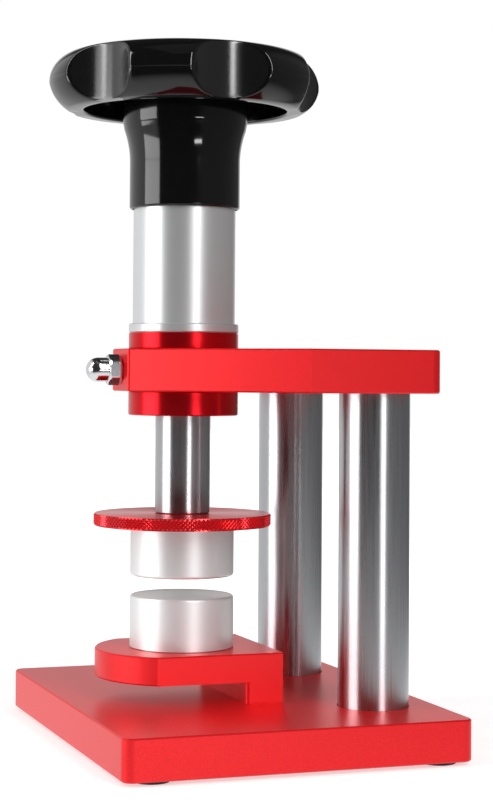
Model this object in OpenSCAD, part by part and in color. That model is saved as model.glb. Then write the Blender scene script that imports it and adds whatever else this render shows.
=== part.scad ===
// Watch spindle press: a lobed handwheel screws a steel spindle down through the arm, and the
// die at the spindle's end presses the work against the lower die on the table.
// Origin: middle of the overall box, on the surface that the feet stand on, with +Z up.
// The head of the arm points towards -X. Left and right are those of a user who faces +X.
// Measures are in millimetres.

/* [Base] */
// Width of the base
base_w = 125; // [110:1:150]
// Thickness of the base
base_t = 11.4; // [11:0.1:16]
// Distance from the spindle's axis forward to the base's front edge
base_front = 35; // [33:0.5:45]
// Distance from the columns back to the base's back edge
base_back = 7.3; // [5:0.1:20]
// Radius of the upright corners of the base and of the arm's back
plate_corner_r = 3; // [1.5:0.5:6]
// Chamfer on the edges of the red plates
plate_chamfer = 0.4; // [0.2:0.1:0.8]

/* [Feet] */
// Diameter of a rubber foot
foot_d = 10; // [6:0.5:11]
// Height of the feet below the base
foot_stand = 1.1; // [0.6:0.1:3]
// Depth of the pocket that holds a foot
foot_pocket = 1; // [0.5:0.1:2]
// Distance from the base's front edge to the front feet's centres
foot_inset_front = 9.5; // [6.5:0.5:14]
// Distance from the base's back edge to the back feet's centres
foot_inset_back = 7.5; // [6.5:0.5:14]
// Distance from the side edges of the base to a foot's centre
foot_inset_side = 7.5; // [6.5:0.5:14]

/* [Columns] */
// Diameter of a column
column_d = 20; // [16:1:24]
// Free height of the columns between base and arm
column_h = 87.7; // [75:0.1:120]
// Distance between the two columns' axes
column_spacing = 66; // [58:1:74]
// Distance from the spindle's axis back to the columns' axes
column_setback = 46.2; // [42:0.1:50]
// Depth of a column's seat in the base
column_seat_base = 2; // [1:0.5:2.5]
// Depth of a column's seat in the arm
column_seat_arm = 2; // [1:0.5:3]
// Diameter of the screws that hold the columns
column_screw_d = 6; // [5:1:8]
// Reach of a column screw into its column
column_screw_reach = 14; // [8:1:30]

/* [Arm] */
// Thickness of the arm
arm_t = 12.2; // [11.5:0.1:18]
// Distance from the columns out to the arm's side faces
arm_side = 4; // [3:0.5:12]
// Distance from the spindle's axis back to where the arm starts to narrow
arm_shoulder = 21.5; // [18:0.5:28]
// Distance from the columns back to the arm's back face
arm_back = 4.7; // [3:0.1:12]
// Distance from the spindle's axis forward to the arm's end face
arm_reach = 19.1; // [18.5:0.1:26]
// Width of the arm's end face
arm_tip_w = 15.4; // [14:0.2:26]
// Rounding of the upright edges beside the arm's end face
arm_tip_r = 0.6; // [0.2:0.1:2]

/* [Spindle guide] */
// Diameter of the guide bush inside the arm
bush_d = 24; // [22:1:27]
// Diameter of the collar above the arm and of the ring nut below it
collar_d = 31.8; // [31:0.1:38]
// Height of the guide bush's collar
collar_h = 4.7; // [4:0.1:8]
// Height of the ring nut
ring_nut_h = 6.9; // [4:0.1:9]
// Diameter of the spindle's fixed sleeve
sleeve_d = 29.6; // [28:0.1:30]
// Height of the flange at the sleeve's foot
sleeve_flange_t = 2.6; // [1.5:0.1:4]
// Height of the sleeve above its flange
sleeve_h = 63; // [58:1:70]
// Outer diameter of the bronze nut in the sleeve
spindle_nut_d = 22; // [20:0.5:23]
// Height of the bronze nut
spindle_nut_h = 30; // [20:1:40]
// Depth of the sleeve's spigot in the guide bush
spigot_depth = 3; // [2:0.5:4]

/* [Lock screw] */
// Diameter of the lock screw in the arm's head
lock_screw_d = 5; // [4:1:6]
// Width of the dome nut across its flats
dome_nut_af = 8; // [7:0.5:10]
// Height of the dome nut's hexagon
dome_nut_hex_h = 4; // [3:0.5:5]
// Overall height of the dome nut
dome_nut_h = 10; // [9:0.5:12]
// Diameter of the dome nut's dome
dome_nut_dome_d = 7; // [6:0.1:7.5]
// Height of solid metal between the dome nut's thread and its tip
dome_nut_wall = 3; // [1:0.5:4]

/* [Table] */
// Width of the table
table_w = 42; // [36:1:48]
// Height of the table's top above the base
table_h = 14; // [13:0.5:24]
// Thickness of the table's plate
table_t = 8; // [7:0.5:10]
// Radius of the table's round nose about the spindle's axis
table_nose_r = 25; // [22:0.5:30]
// Distance from the spindle's axis back to the front of the table's foot
table_foot_front = 12.6; // [10:0.1:14]
// Distance from the spindle's axis back to the table's back face
table_back = 23.6; // [22:0.1:30]
// Radius of the upright corners of the table's foot
table_foot_corner_r = 1.3; // [0.5:0.1:2]
// Diameter of the screws that hold the table
table_screw_d = 5; // [4:1:6]
// Distance from the table's side faces to its screws' axes
table_screw_inset = 8; // [5:0.5:12]
// Reach of a table screw into the table's foot
table_screw_reach = 10; // [6:1:11]

/* [Dies] */
// Diameter of the upper and lower dies
die_d = 30; // [26:1:36]
// Height of the lower die
lower_die_h = 15; // [12:0.5:20]
// Height of the upper die
upper_die_h = 14.4; // [13:0.2:20]
// Gap between the dies as shown
die_gap = 5.6; // [5:0.1:12]
// Diameter of the lower die's peg in the table
die_peg_d = 10; // [6:1:14]
// Length of the lower die's peg
die_peg_l = 7; // [4:0.5:7.5]
// Rounding of the dies' pressing edges
die_edge_r = 0.8; // [0.4:0.1:1.5]

/* [Die holder] */
// Diameter of the knurled disc
disc_d = 51.5; // [44:0.5:56]
// Thickness of the knurled disc
disc_t = 3.5; // [3:0.1:6]
// Diameter of the boss that the upper die screws on
boss_d = 20; // [16:1:22]
// Length of that boss below the disc
boss_l = 9; // [8.5:0.5:11]
// Diameter of the ball that takes the thrust
ball_d = 6; // [5:0.5:6]
// Diameter of the retaining screws in the boss
retainer_d = 3; // [2:0.5:4]
// Distance from the disc's underside down to the retaining screws' axis
retainer_drop = 2.2; // [1.8:0.1:4]

/* [Spindle] */
// Diameter of the spindle
spindle_d = 16; // [14:0.5:18]
// Diameter of the journal that turns in the die holder
journal_d = 10; // [9:0.5:11]
// Width of the drive hexagon at the spindle's top across its flats
drive_af = 10; // [8:0.5:12]
// Height of the drive hexagon
drive_h = 4; // [3:0.5:4.5]

/* [Handwheel] */
// Diameter over the lobes
wheel_d = 79.4; // [70:0.2:90]
// Height of the rim
rim_h = 16.4; // [14:0.1:20]
// Height of the rim's parting line above its underside
parting_h = 7.7; // [6:0.1:10]
// Width of the rounded slope under the parting line
rim_slope_w = 5.9; // [3:0.1:8]
// Radius of that slope's rounding
rim_slope_r = 10.5; // [8:0.5:16]
// Diameter of the opening under the rim
rim_opening_d = 59; // [52:0.2:64]
// Height of the wheel's top above its seat on the spindle
wheel_crown = 9.1; // [8.6:0.1:14]
// Number of lobes
lobes = 6; // [4:1:8]
// Angle from the line through the arm to the first finger hollow
hollow_angle = 32; // [0:0.2:60]
// Radius of a finger hollow
hollow_r = 17.1; // [12:0.1:20]
// Depth of a finger hollow below the lobes
hollow_depth = 6.3; // [3:0.1:7]
// Diameter of the hub
hub_d = 32; // [31.6:0.2:36]
// Overlap of hub and sleeve when the wheel is at its highest
hub_overlap = 1.8; // [1:0.1:8]
// Rounding of the hub's lower lip
hub_lip_r = 1; // [0.4:0.1:1.2]
// Diameter of the hub's swelling under the rim
hub_swell_d = 36.2; // [36:0.1:42]
// Distance from the rim's underside down to the swelling's widest place
hub_swell_drop = 2.7; // [1:0.1:4]
// Height of the hub's flare below the swelling's widest place
hub_flare_h = 12.2; // [8:0.1:16]
// Radius of the hub's flare
hub_flare_r = 28; // [20:1:40]
// Thickness of the web between hub and rim
web_t = 6; // [4:0.5:8]
// Rounding between the web and the walls under it
web_round = 2.5; // [1:0.1:4]
// Depth of the dish in the wheel's top
dish_depth = 1.8; // [1:0.1:3]
// Width of the rim's flat top outside the dish, measured from the opening's wall
dish_margin = 3.5; // [2:0.1:5]
// Diameter of the pocket for the wheel's washer and screw
wheel_pocket_d = 24; // [20:1:26]
// Diameter of the metal insert's flange
insert_flange_d = 28; // [26:1:30]
// Thickness of the metal insert's flange
insert_flange_t = 2; // [1:0.5:3]
// Diameter of the metal insert
insert_d = 22; // [18:1:23]
// Diameter of the wheel screw's thread
wheel_screw_d = 6; // [5:1:6]
// Reach of the wheel screw into the spindle
wheel_screw_reach = 9; // [6:1:14]
// Diameter of the wheel screw's button head
button_d = 10.5; // [9:0.5:12]
// Height of the wheel screw's button head
button_h = 3.3; // [2:0.1:3.4]
// Diameter of the washer under the wheel screw
wheel_washer_d = 18; // [14:1:19]
// Thickness of that washer
wheel_washer_t = 1.2; // [0.8:0.1:1.2]

/* [Clearances] */
// Gap around parts that are screwed or pressed together
seat_gap = 0.05; // [0.02:0.01:0.1]
// Gap around parts that turn or slide in each other
running_gap = 0.06; // [0.03:0.01:0.1]
// Gap between the handwheel's hub and the sleeve
hub_gap = 0.4; // [0.2:0.1:0.6]
// Gap that is left at the ends of the spindle's travel
stop_gap = 0.3; // [0.2:0.1:0.6]

/* [Hidden] */
$fn = 96;

// Colours
red = "#d8262f";
steel = "#c9cbce";
aluminium = "#d6d8da";
black = "#151515";
rubber = "#2b2b2b";
bronze = "#b98a4a";

// Small values for cutting tools that run past a face
past = 1;

// Standard socket-head screws: head and socket follow the thread's diameter
head_margin = 1;
screw_chamfer = 0.4;
head_room = 0.5;
thread_runout = 5;
function head_d(d) = 1.5 * d + head_margin;
function head_h(d) = d;
function socket_af(d) = 0.8 * d;

// Small chamfers on turned parts and feet
turned_chamfer = 0.3;
die_chamfer = 0.2;
foot_chamfer = 0.2;
// Gap around a column in its seat in the base, which shows as a fine dark line
column_seat_gap = 0.2;

// Heights of the fixed frame
base_z = foot_stand;
base_top = base_z + base_t;
arm_z = base_top + column_h;
arm_top = arm_z + arm_t;
arm_mid = arm_z + arm_t / 2;
collar_top = arm_top + collar_h;
flange_top = collar_top + sleeve_flange_t;
sleeve_top = flange_top + sleeve_h;
spigot_z = collar_top - spigot_depth;
ring_nut_z = arm_z - ring_nut_h;
bush_end_inset = 0.6;
table_top = base_top + table_h;

// Heights of the travelling parts, as shown
lower_die_top = table_top + lower_die_h;
upper_die_z = lower_die_top + die_gap;
disc_z = upper_die_z + upper_die_h;
disc_top = disc_z + disc_t;
travel_down = die_gap - stop_gap;
travel_up = ring_nut_z - disc_top - stop_gap;
wheel_seat_z = sleeve_top + travel_down + 2 * stop_gap;

// Plan positions: the overall box runs from the handwheel's front to the base's back
wheel_r = wheel_d / 2;
base_rear = column_setback + column_d / 2 + base_back;
base_l = base_front + base_rear;
spindle_x = (max(wheel_r, base_front) - base_rear) / 2;
base_x0 = spindle_x - base_front;
base_x1 = spindle_x + base_rear;
column_x = spindle_x + column_setback;
column_y = column_spacing / 2;
arm_w = column_spacing + column_d + 2 * arm_side;
arm_x0 = spindle_x - arm_reach;
arm_x1 = column_x + column_d / 2 + arm_back;

// Bores
spindle_bore_d = spindle_d + 2 * running_gap;
nut_ledge = 1;
spigot_wall = 2;
sleeve_bore_d = spindle_nut_d - 2 * nut_ledge;
spigot_d = spindle_nut_d + 2 * spigot_wall;

// Die holder: the ball lies on its floor, and the journal's pocket takes the ball's upper part
boss_z = disc_z - boss_l;
holder_floor = 2;
ball_z = boss_z + holder_floor;
ball_mid = ball_z + ball_d / 2;
ball_top = ball_z + ball_d;
journal_skirt = 1;
journal_z = ball_mid - journal_skirt;
retainer_mid = disc_z - retainer_drop;
dog_d = retainer_d / 2;
groove_h = dog_d + 2 * running_gap;
groove_depth = 0.9;
retainer_sink = 0.3;
boss_end_gap = 0.2;

// Dome nut: diameter over its rounded corners
dome_nut_corner_d = 1.11 * dome_nut_af;

// Table screws
table_screw_y = table_w / 2 - table_screw_inset;
table_screw_x = (table_foot_front + table_back) / 2;

// Handwheel
wheel_top = wheel_seat_z + wheel_crown;
rim_z = wheel_top - rim_h;
parting_z = rim_z + parting_h;
rim_top_r = rim_h - parting_h;
rim_opening_r = rim_opening_d / 2;
hub_z = sleeve_top - travel_up - hub_overlap;
hub_bore_d = sleeve_d + 2 * hub_gap;
web_z = wheel_top - dish_depth - web_t;
insert_top = wheel_seat_z + drive_h;
// The drive hexagon ends just below the insert's top, so that the washer clamps the wheel
drive_sink = 0.2;

// Profiles and blanks

// Bar along +X whose four long edges are chamfered
module chamfered_bar(l, w, t, c) {
    rotate([90, 0, 90])
        linear_extrude(l)
            polygon([
                [-w / 2 + c, 0], [w / 2 - c, 0], [w / 2, c], [w / 2, t - c],
                [w / 2 - c, t], [-w / 2 + c, t], [-w / 2, t - c], [-w / 2, c]
            ]);
}

// Disc with chamfered rims
module chamfered_disc(r, t, c) {
    rotate_extrude()
        polygon([[0, 0], [r - c, 0], [r, c], [r, t - c], [r - c, t], [0, t]]);
}

// Plate with round upright corners and chamfered edges, from x = 0, centred on y = 0
module rounded_plate(l, w, t, r, c) {
    translate([r, 0, 0])
        chamfered_bar(l - 2 * r, w, t, c);
    translate([l / 2, -w / 2 + r, 0])
        rotate([0, 0, 90])
            chamfered_bar(w - 2 * r, l, t, c);
    for (x = [r, l - r], y = [-w / 2 + r, w / 2 - r])
        translate([x, y, 0])
            chamfered_disc(r, t, c);
}

// Cylinder from z0 up to z1
module rod(d, z0, z1) {
    translate([0, 0, z0])
        cylinder(d = d, h = z1 - z0);
}

// Hexagonal prism of width af across flats, from z0 up to z1
module hexagon(af, z0, z1) {
    translate([0, 0, z0])
        cylinder(d = af / cos(30), h = z1 - z0, $fn = 6);
}

// Socket-head cap screw that points up: the head's underside is at z = 0
module cap_screw(d, l) {
    difference() {
        union() {
            translate([0, 0, -head_h(d)])
                chamfered_disc(head_d(d) / 2, head_h(d), screw_chamfer);
            rod(d, 0, l);
        }
        hexagon(socket_af(d), -head_h(d) - past, -head_h(d) / 2);
    }
}

// Room for such a screw: a counterbore below z = 0 and a hole above it
module cap_screw_room(d, depth, l) {
    rod(head_d(d) + 2 * head_room, -depth, 0);
    rod(d + 2 * seat_gap, -past, l);
}

module at_spindle(z = 0) {
    translate([spindle_x, 0, z])
        children();
}

module at_column(side, z = 0) {
    translate([column_x, side * column_y, z])
        children();
}

module at_foot(end, side, z = 0) {
    x = end < 0 ? base_x0 + foot_inset_front : base_x1 - foot_inset_back;
    translate([x, side * (base_w / 2 - foot_inset_side), z])
        children();
}

module at_table_screw(side, z = 0) {
    translate([spindle_x + table_screw_x, side * table_screw_y, z])
        children();
}

// Frame

// Depths of the counterbores, measured from the faces that the heads sink in
column_head_depth = head_h(column_screw_d) + head_room;
table_head_depth = head_h(table_screw_d) + head_room;

module base_plate() {
    color(red)
        difference() {
            translate([base_x0, 0, base_z])
                rounded_plate(base_l, base_w, base_t, plate_corner_r, plate_chamfer);
            for (side = [-1, 1]) {
                at_column(side)
                    rod(column_d + 2 * column_seat_gap, base_top - column_seat_base, base_top + past);
                at_column(side, base_z + column_head_depth)
                    cap_screw_room(column_screw_d, column_head_depth + past, base_t);
                at_table_screw(side, base_z + table_head_depth)
                    cap_screw_room(table_screw_d, table_head_depth + past, base_t);
                for (end = [-1, 1])
                    at_foot(end, side)
                        rod(foot_d + 2 * seat_gap, base_z - past, base_z + foot_pocket);
            }
        }
}

module foot(end, side) {
    color(rubber)
        at_foot(end, side)
            chamfered_disc(foot_d / 2, foot_stand + foot_pocket, foot_chamfer);
}

module column(side) {
    seat_z = base_top - column_seat_base;
    end_z = arm_z + column_seat_arm;
    color(steel)
        at_column(side)
            difference() {
                translate([0, 0, seat_z])
                    chamfered_disc(column_d / 2, end_z - seat_z, turned_chamfer);
                rod(column_screw_d + 2 * seat_gap, seat_z - past, seat_z + column_screw_reach + past);
                rod(column_screw_d + 2 * seat_gap, end_z - column_screw_reach - past, end_z + past);
            }
}

module column_screw_base(side) {
    head_z = base_z + column_head_depth;
    color(steel)
        at_column(side, head_z)
            cap_screw(column_screw_d, base_top - column_seat_base - head_z + column_screw_reach);
}

module column_screw_arm(side) {
    head_z = arm_top - column_head_depth;
    color(steel)
        at_column(side, head_z)
            mirror([0, 0, 1])
                cap_screw(column_screw_d, head_z - arm_z - column_seat_arm + column_screw_reach);
}

// Wide bar whose outer side is the arm's slanting face on one side
module arm_flank(side) {
    w = 2 * arm_w;
    l = 4 * arm_w;
    slant = atan2((arm_w - arm_tip_w) / 2, arm_reach + arm_shoulder);
    translate([arm_x0, side * arm_tip_w / 2, 0])
        rotate([0, 0, side * slant])
            translate([-l / 2, -side * w / 2, 0])
                chamfered_bar(l, w, arm_t, plate_chamfer);
}

module arm_blank() {
    intersection() {
        translate([arm_x0, 0, 0])
            rounded_plate(arm_x1 - arm_x0, arm_w, arm_t, plate_corner_r, plate_chamfer);
        arm_flank(-1);
        arm_flank(1);
        arm_tip_rounding();
    }
}

// Everything behind the small rounding of the arm's end face
module arm_tip_rounding() {
    slant = atan2((arm_w - arm_tip_w) / 2, arm_reach + arm_shoulder);
    // The rounding touches the end face and a flank, which meet at 90 degrees plus the slant
    round_y = arm_tip_w / 2 - arm_tip_r * tan(45 - slant / 2);
    translate([0, 0, -past])
        linear_extrude(arm_t + 2 * past) {
            translate([arm_x0 + arm_tip_r, -arm_w])
                square([arm_x1 - arm_x0, 2 * arm_w]);
            translate([arm_x0, -round_y])
                square([2 * arm_tip_r, 2 * round_y]);
            for (side = [-1, 1])
                translate([arm_x0 + arm_tip_r, side * round_y])
                    circle(r = arm_tip_r);
        }
}

module arm() {
    color(red)
        difference() {
            translate([0, 0, arm_z])
                arm_blank();
            at_spindle()
                rod(bush_d + 2 * seat_gap, arm_z - past, arm_top + past);
            for (side = [-1, 1]) {
                at_column(side)
                    rod(column_d + 2 * seat_gap, arm_z - past, arm_z + column_seat_arm);
                at_column(side, arm_top - column_head_depth)
                    mirror([0, 0, 1])
                        cap_screw_room(column_screw_d, column_head_depth + past, arm_t);
            }
            translate([arm_x0 - past, 0, arm_mid])
                rotate([0, 90, 0])
                    cylinder(d = lock_screw_d + 2 * seat_gap, h = arm_reach - bush_d / 2 + past);
        }
}

// Table

module table_side_profile() {
    fillet = 0.8;
    under = table_h - table_t;
    difference() {
        square([table_back, table_h]);
        translate([-past, -past])
            square([table_foot_front + past, under + past - fillet]);
        translate([-past, -past])
            square([table_foot_front - fillet + past, under + past]);
        translate([table_foot_front - fillet, under - fillet])
            circle(r = fillet);
    }
}

module table() {
    hole_d = die_peg_d + 2 * seat_gap;
    color(red)
        at_spindle(base_top)
            difference() {
                intersection() {
                    union() {
                        translate([0, 0, table_h - table_t])
                            chamfered_disc(table_nose_r, table_t, plate_chamfer);
                        translate([0, table_w / 2, 0])
                            rotate([90, 0, 0])
                                linear_extrude(table_w)
                                    table_side_profile();
                    }
                    // Side faces with chamfered top edges
                    translate([-table_nose_r, 0, -table_h])
                        chamfered_bar(table_nose_r + table_back, table_w, 2 * table_h, plate_chamfer);
                }
                // Round front corners of the foot
                for (side = [-1, 1])
                    translate([table_foot_front, side * table_w / 2, -past])
                        mirror([0, side > 0 ? 1 : 0, 0])
                            difference() {
                                translate([-past, -past, 0])
                                    cube([
                                        table_foot_corner_r + past,
                                        table_foot_corner_r + past,
                                        table_h - table_t + past
                                    ]);
                                translate([table_foot_corner_r, table_foot_corner_r, -past])
                                    cylinder(r = table_foot_corner_r, h = table_h);
                            }
                rod(hole_d, -past, table_h + past);
                for (side = [-1, 1])
                    translate([table_screw_x, side * table_screw_y, 0])
                        rod(table_screw_d + 2 * seat_gap, -past, table_screw_reach + past);
            }
}

module table_screw(side) {
    color(steel)
        at_table_screw(side, base_z + table_head_depth)
            cap_screw(table_screw_d, base_t - table_head_depth + table_screw_reach);
}

// Profile of a die of radius r and height h with a rounded edge at its pressing face, at the top
module die_profile(r, h) {
    square([r - die_edge_r, h]);
    translate([0, die_chamfer])
        square([r, h - die_edge_r - die_chamfer]);
    translate([r - die_edge_r, h - die_edge_r])
        circle(r = die_edge_r);
}

module lower_die() {
    color(aluminium)
        at_spindle(table_top) {
            rotate_extrude()
                die_profile(die_d / 2, lower_die_h);
            translate([0, 0, -die_peg_l])
                chamfered_disc(die_peg_d / 2, die_peg_l + past, screw_chamfer);
        }
}

// Spindle guide

module guide_bush() {
    end_z = ring_nut_z + bush_end_inset;
    color(red)
        at_spindle()
            difference() {
                union() {
                    rod(bush_d, end_z, collar_top - spigot_depth / 2);
                    translate([0, 0, arm_top])
                        chamfered_disc(collar_d / 2, collar_h, turned_chamfer);
                }
                rod(spindle_bore_d, end_z - past, collar_top + past);
                rod(spigot_d + 2 * seat_gap, spigot_z, collar_top + past);
            }
}

module ring_nut() {
    color(red)
        at_spindle()
            difference() {
                translate([0, 0, ring_nut_z])
                    chamfered_disc(collar_d / 2, ring_nut_h, turned_chamfer);
                rod(bush_d + 2 * seat_gap, ring_nut_z - past, arm_z + past);
            }
}

module spindle_sleeve() {
    nut_top = spigot_z + spindle_nut_h;
    color(aluminium)
        at_spindle()
            difference() {
                union() {
                    rod(spigot_d, spigot_z, collar_top + sleeve_flange_t / 2);
                    translate([0, 0, collar_top])
                        chamfered_disc(collar_d / 2, sleeve_flange_t, turned_chamfer);
                    translate([0, 0, collar_top + sleeve_flange_t / 2])
                        chamfered_disc(
                            sleeve_d / 2, sleeve_top - collar_top - sleeve_flange_t / 2, turned_chamfer
                        );
                }
                rod(spindle_nut_d + 2 * seat_gap, spigot_z - past, nut_top + seat_gap);
                rod(sleeve_bore_d, nut_top - past, sleeve_top + past);
            }
}

module spindle_nut() {
    color(bronze)
        at_spindle()
            difference() {
                rod(spindle_nut_d, spigot_z, spigot_z + spindle_nut_h);
                rod(spindle_bore_d, spigot_z - past, spigot_z + spindle_nut_h + past);
            }
}

module lock_screw() {
    inner_x = spindle_x - bush_d / 2 - seat_gap;
    outer_x = arm_x0 - dome_nut_h + dome_nut_wall;
    color(steel)
        translate([inner_x, 0, arm_mid])
            rotate([0, -90, 0])
                chamfered_disc(lock_screw_d / 2, inner_x - outer_x, screw_chamfer);
}

// Dome nut on the arm's end face; it is drawn along +Z and laid over towards -X
module dome_nut() {
    dome_r = dome_nut_dome_d / 2;
    corner_chamfer = 0.6;
    color(steel)
        translate([arm_x0, 0, arm_mid])
            rotate([0, -90, 0])
                difference() {
                    union() {
                        intersection() {
                            hexagon(dome_nut_af, 0, dome_nut_hex_h);
                            chamfered_disc(dome_nut_corner_d / 2, dome_nut_hex_h, corner_chamfer);
                        }
                        rod(dome_nut_dome_d, dome_nut_hex_h / 2, dome_nut_h - dome_r);
                        translate([0, 0, dome_nut_h - dome_r])
                            sphere(d = dome_nut_dome_d);
                    }
                    rod(lock_screw_d + 2 * seat_gap, -past, dome_nut_h - dome_nut_wall + seat_gap);
                }
}

// Travelling parts

module thrust_ball() {
    color(steel)
        at_spindle(ball_mid)
            sphere(d = ball_d);
}

module spindle() {
    drive_z = wheel_seat_z;
    color(steel)
        at_spindle()
            difference() {
                union() {
                    rod(journal_d, journal_z, disc_top + past);
                    translate([0, 0, disc_top + running_gap])
                        chamfered_disc(spindle_d / 2, drive_z - disc_top - running_gap, turned_chamfer);
                    hexagon(drive_af, drive_z - past, drive_z + drive_h - drive_sink);
                }
                rod(ball_d + 2 * running_gap, journal_z - past, ball_top + running_gap);
                translate([0, 0, retainer_mid - groove_h / 2])
                    difference() {
                        cylinder(d = journal_d + 2 * past, h = groove_h);
                        translate([0, 0, -past])
                            cylinder(d = journal_d - 2 * groove_depth, h = groove_h + 2 * past);
                    }
                rod(
                    wheel_screw_d + 2 * seat_gap,
                    drive_z - wheel_screw_reach - thread_runout,
                    drive_z + drive_h + past
                );
            }
}

module die_holder() {
    color(red)
        at_spindle()
            difference() {
                union() {
                    translate([0, 0, disc_z])
                        chamfered_disc(disc_d / 2, disc_t, plate_chamfer);
                    translate([0, 0, boss_z])
                        chamfered_disc(boss_d / 2, boss_l + disc_t / 2, turned_chamfer);
                }
                rod(journal_d + 2 * running_gap, ball_z - running_gap, disc_top + past);
                translate([0, 0, retainer_mid])
                    rotate([90, 0, 0])
                        cylinder(d = retainer_d + 2 * seat_gap, h = boss_d + 2 * past, center = true);
            }
}

// Retaining screw in the boss, whose dog point runs in the journal's groove
module retainer(side) {
    outer = boss_d / 2 - retainer_sink;
    shoulder = journal_d / 2 + running_gap + retainer_sink;
    tip = journal_d / 2 - groove_depth + running_gap;
    color(steel)
        at_spindle(retainer_mid)
            rotate([-90 * side, 0, 0]) {
                rod(retainer_d, shoulder, outer);
                rod(dog_d, tip, outer);
            }
}

module upper_die() {
    color(aluminium)
        at_spindle()
            difference() {
                translate([0, 0, disc_z])
                    mirror([0, 0, 1])
                        rotate_extrude()
                            die_profile(die_d / 2, upper_die_h);
                rod(boss_d + 2 * seat_gap, boss_z - boss_end_gap, disc_z + past);
            }
}

// Handwheel

// Section of the rim: a quarter round above the parting line and a flatter slope below it
module rim_section() {
    slope_inner_r = wheel_r - rim_slope_w;
    chord = norm([rim_slope_w, parting_h]);
    sagitta_leg = sqrt(pow(rim_slope_r, 2) - pow(chord / 2, 2));
    slope_x = (wheel_r + slope_inner_r) / 2 - sagitta_leg * parting_h / chord;
    slope_z = rim_z + parting_h / 2 + sagitta_leg * rim_slope_w / chord;
    intersection() {
        translate([slope_x, slope_z])
            circle(r = rim_slope_r);
        translate([0, rim_z])
            square([wheel_r, parting_h]);
    }
    translate([0, rim_z])
        square([slope_inner_r, rim_h]);
    intersection() {
        translate([wheel_r - rim_top_r, parting_z])
            circle(r = rim_top_r);
        translate([0, parting_z - past])
            square([wheel_r, rim_h]);
    }
    translate([0, parting_z])
        square([wheel_r - rim_top_r, rim_top_r]);
}

// Half section of the solid wheel before the hollows and bores are cut
module wheel_section() {
    swell_round = 5;
    swell_overlap = 0.2;
    swell_r = hub_swell_d / 2;
    swell_z = rim_z - hub_swell_drop;
    flare_z = swell_z - hub_flare_h;
    hub_r = hub_d / 2;
    inner_wall_r = swell_r - swell_overlap;
    pocket_rim_w = 2;
    dish_inner_r = wheel_pocket_d / 2 + pocket_rim_w;
    difference() {
        union() {
            rim_section();
            // Hub with a rounded lower lip
            translate([0, hub_z + hub_lip_r])
                square([hub_r, rim_z - hub_z]);
            translate([0, hub_z])
                square([hub_r - hub_lip_r, rim_z - hub_z]);
            translate([hub_r - hub_lip_r, hub_z + hub_lip_r])
                circle(r = hub_lip_r);
            // Flare that sweeps out to the swelling
            difference() {
                translate([hub_r - past, flare_z])
                    square([swell_r - hub_r + past - swell_overlap, hub_flare_h - swell_round / 3]);
                translate([hub_r + hub_flare_r, flare_z])
                    circle(r = hub_flare_r);
            }
            translate([swell_r - swell_round, swell_z])
                circle(r = swell_round);
        }
        // Ring-shaped hollow between hub and rim, with rounded corners at the web
        difference() {
            translate([inner_wall_r, rim_z - past])
                square([rim_opening_r - inner_wall_r, web_z - rim_z + past]);
            translate([swell_r - swell_round, swell_z])
                circle(r = swell_round);
            for (x = [inner_wall_r, rim_opening_r - web_round])
                translate([x, web_z - web_round])
                    difference() {
                        square(web_round);
                        translate([x > inner_wall_r ? 0 : web_round, 0])
                            circle(r = web_round);
                    }
        }
        // Shallow dish in the top
        translate([dish_inner_r, wheel_top - dish_depth])
            square([rim_opening_r - dish_margin - dish_inner_r, dish_depth + past]);
    }
}

module handwheel() {
    hollow_x = wheel_r - hollow_depth + hollow_r;
    color(black)
        at_spindle()
            difference() {
                rotate_extrude()
                    wheel_section();
                for (i = [0 : lobes - 1])
                    rotate([0, 0, hollow_angle + i * 360 / lobes])
                        translate([hollow_x, 0, rim_z - past])
                            cylinder(r = hollow_r, h = rim_h + 2 * past);
                rod(hub_bore_d, hub_z - past, wheel_seat_z);
                rod(
                    insert_flange_d + 2 * seat_gap, wheel_seat_z - past, wheel_seat_z + insert_flange_t
                );
                rod(insert_d + 2 * seat_gap, wheel_seat_z, insert_top + past);
                rod(wheel_pocket_d, insert_top, wheel_top + past);
            }
}

module wheel_insert() {
    color(steel)
        at_spindle()
            difference() {
                union() {
                    rod(insert_flange_d, wheel_seat_z, wheel_seat_z + insert_flange_t);
                    rod(insert_d, wheel_seat_z, insert_top);
                }
                hexagon(drive_af + 2 * seat_gap, wheel_seat_z - past, insert_top + past);
            }
}

module wheel_washer() {
    color(steel)
        at_spindle(insert_top)
            difference() {
                chamfered_disc(wheel_washer_d / 2, wheel_washer_t, foot_chamfer);
                rod(wheel_screw_d + 2 * seat_gap, -past, wheel_washer_t + past);
            }
}

// Button-head screw that clamps the wheel on the spindle
module wheel_screw() {
    button_z = insert_top + wheel_washer_t;
    dome_r = (pow(button_d / 2, 2) + pow(button_h, 2)) / (2 * button_h);
    socket_depth = 0.6 * button_h;
    color(steel)
        at_spindle(button_z)
            difference() {
                union() {
                    intersection() {
                        translate([0, 0, button_h - dome_r])
                            sphere(r = dome_r);
                        cylinder(d = button_d + 2 * past, h = button_h + past);
                    }
                    rod(wheel_screw_d, wheel_seat_z - wheel_screw_reach - button_z, button_h / 2);
                }
                hexagon(2 / 3 * wheel_screw_d, button_h - socket_depth, button_h + past);
            }
}

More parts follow.
